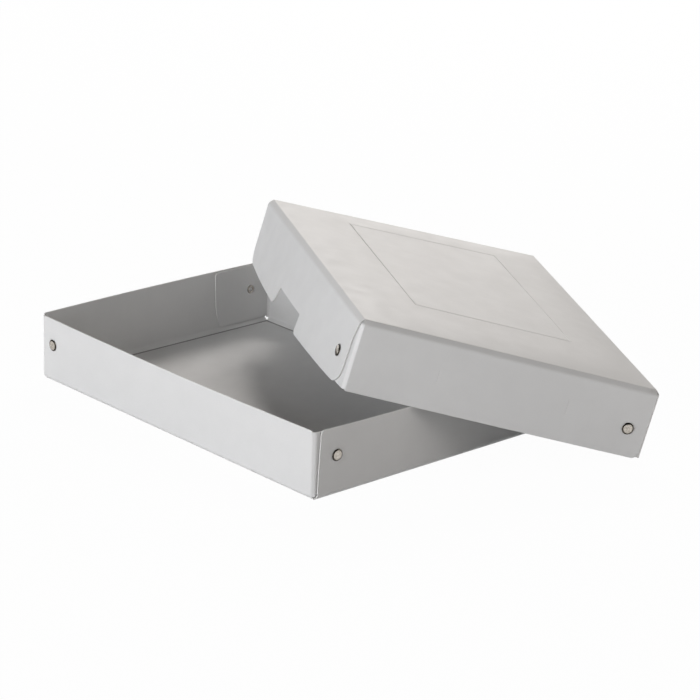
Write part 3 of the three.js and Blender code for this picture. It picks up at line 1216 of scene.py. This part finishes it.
@dataclass(frozen=True)
class Stand:
    """Where a camera or a light stands, by angles in degrees from the front and above the floor."""

    azimuth: float
    elevation: float
    distance: float = 2.4
    target: tuple[float, float, float] = (0.02, 0.05, 0.04)
    roll: float = 0.0

    def hold(self, data: bpy.types.Camera | bpy.types.Light) -> Piece:
        """Adds an object that looks at the target.

        Args:
            data: The camera or the light.

        Returns:
            The object.
        """
        azimuth, elevation = math.radians(self.azimuth), math.radians(self.elevation)
        level = math.cos(elevation)
        back = Vector((math.sin(azimuth) * level, -math.cos(azimuth) * level, math.sin(elevation)))
        holder = bpy.data.objects.new(data.name, data)
        bpy.context.scene.collection.objects.link(holder)
        holder.location = Vector(self.target) + back * self.distance
        upright = back.to_track_quat("Z", "Y")
        holder.rotation_mode = "QUATERNION"
        holder.rotation_quaternion = Quaternion(back, math.radians(self.roll)) @ upright
        return holder


@dataclass(frozen=True)
class PhotoCamera:
    """The camera that saw the box."""

    stand: Stand = Stand(
        azimuth=47.716,
        elevation=19.331,
        distance=2.100,
        target=(0.00625, 0.05603, 0.03182),
        roll=1.582,
    )
    lens: float = 141.31
    sensor_width: float = 36.0
    clip_end: float = 50.0
    shift: tuple[float, float] = (-0.00036, 0.00113)

    def build(self) -> None:
        """Adds the camera and makes it the scene's."""
        data = bpy.data.cameras.new("photo_camera")
        data.lens = self.lens
        data.sensor_width = self.sensor_width
        data.shift_x, data.shift_y = self.shift
        data.clip_end = self.clip_end
        bpy.context.scene.camera = self.stand.hold(data)


@dataclass(frozen=True)
class SoftLight:
    """A square soft light aimed at the box."""

    name: str
    stand: Stand
    size: float
    power: float
    colour: Colour

    def build(self) -> None:
        """Adds the light."""
        data = bpy.data.lights.new(self.name, "AREA")
        data.size = self.size
        data.energy = self.power
        data.color = self.colour
        self.stand.hold(data)


@dataclass(frozen=True)
class Studio:
    """Floor, world and soft lights."""

    floor_radius: float = 8.0
    floor_corners: int = 64
    floor_drop: float = 0.02 * MM
    ambient: float = 0.01
    lights: tuple[SoftLight, ...] = (
        SoftLight("key_low", Stand(0, 12), 1.2, 43, COOL),
        SoftLight("left_low", Stand(-90, 12), 1.2, 4.1, COOL),
        SoftLight("back_high", Stand(220, 40), 1.0, 32, WARM),
        SoftLight("back_left_low", Stand(225, 12), 1.2, 8.2, WARM),
        SoftLight("back_low", Stand(180, 12), 1.2, 3.5, WARM),
        SoftLight("back_right_low", Stand(135, 12), 1.2, 13, WARM),
        SoftLight("front_high", Stand(40, 40), 1.0, 6, WARM),
        SoftLight("right_high", Stand(100, 40), 1.0, 3.5, WARM),
    )

    def build(self) -> None:
        """Adds the floor, the world and the lights."""
        bpy.ops.mesh.primitive_circle_add(
            vertices=self.floor_corners, radius=self.floor_radius, fill_type="NGON",
            location=(0, 0, -self.floor_drop),
        )
        floor = bpy.context.active_object
        floor.name = "studio_floor"
        floor.data.materials.append(FloorFinish().material())
        world = bpy.data.worlds.new("studio_world")
        bpy.context.scene.world = world
        world.use_nodes = True
        nodes, links = world.node_tree.nodes, world.node_tree.links
        dim = nodes["Background"]
        dim.inputs["Strength"].default_value = self.ambient
        dim.inputs["Color"].default_value = (1, 1, 1, 1)
        white = nodes.new("ShaderNodeBackground")
        white.inputs["Color"].default_value = (1, 1, 1, 1)
        path = nodes.new("ShaderNodeLightPath")
        mix = nodes.new("ShaderNodeMixShader")
        links.new(path.outputs["Is Camera Ray"], mix.inputs["Fac"])
        links.new(dim.outputs["Background"], mix.inputs[1])
        links.new(white.outputs["Background"], mix.inputs[2])
        links.new(mix.outputs["Shader"], nodes["World Output"].inputs["Surface"])
        for light in self.lights:
            light.build()


def dress_half(half: FoldedHalf, place: Matrix, rivet: Piece, materials: Finishes) -> None:
    """Builds one half with its rivets and hangs them on the half's body.

    Args:
        half: The half.
        place: Where it stands.
        rivet: The rivet to copy.
        materials: The finishes by name.
    """
    body = half.half.value
    board = half.build(place, materials)
    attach(board, body)
    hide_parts("base_tray" if half.half is Half.BASE else "lid_shell")
    LOG.info("%s: %d faces", board.name, len(board.data.polygons))
    for index, corner in enumerate(half.corners):
        piece = copied(rivet, f"{body}_tubular_rivet_{corner}", place @ half.rivet_place(index))
        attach(piece, body)
        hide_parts(f"{body}_rivet_{corner}")
        LOG.info("%s: %d faces", piece.name, len(piece.data.polygons))


def main() -> None:
    """Builds the scene in order."""
    logging.basicConfig(level=logging.INFO, format="%(name)s: %(message)s")
    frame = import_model()
    bpy.context.scene.view_settings.view_transform = "Standard"
    materials = {
        "face": BoardFinish().material(),
        "cut": CUT_EDGE.material(),
        "crease": PAINTED_CREASE_SHADE.material(),
        "rivet": NICKEL.material(),
        "rivet_shade": PAINTED_RIVET_SHADE.material(),
    }
    base, lid = storage_box_halves()
    rivet = Rivet().build(base.board, materials)
    dress_half(base, Matrix.Identity(4), rivet, materials)
    dress_half(lid, lid_pose(base, lid, frame["nodes"]), rivet, materials)
    bpy.data.objects.remove(rivet)
    Studio().build()
    PhotoCamera().build()


if __name__ == "__main__":
    main()
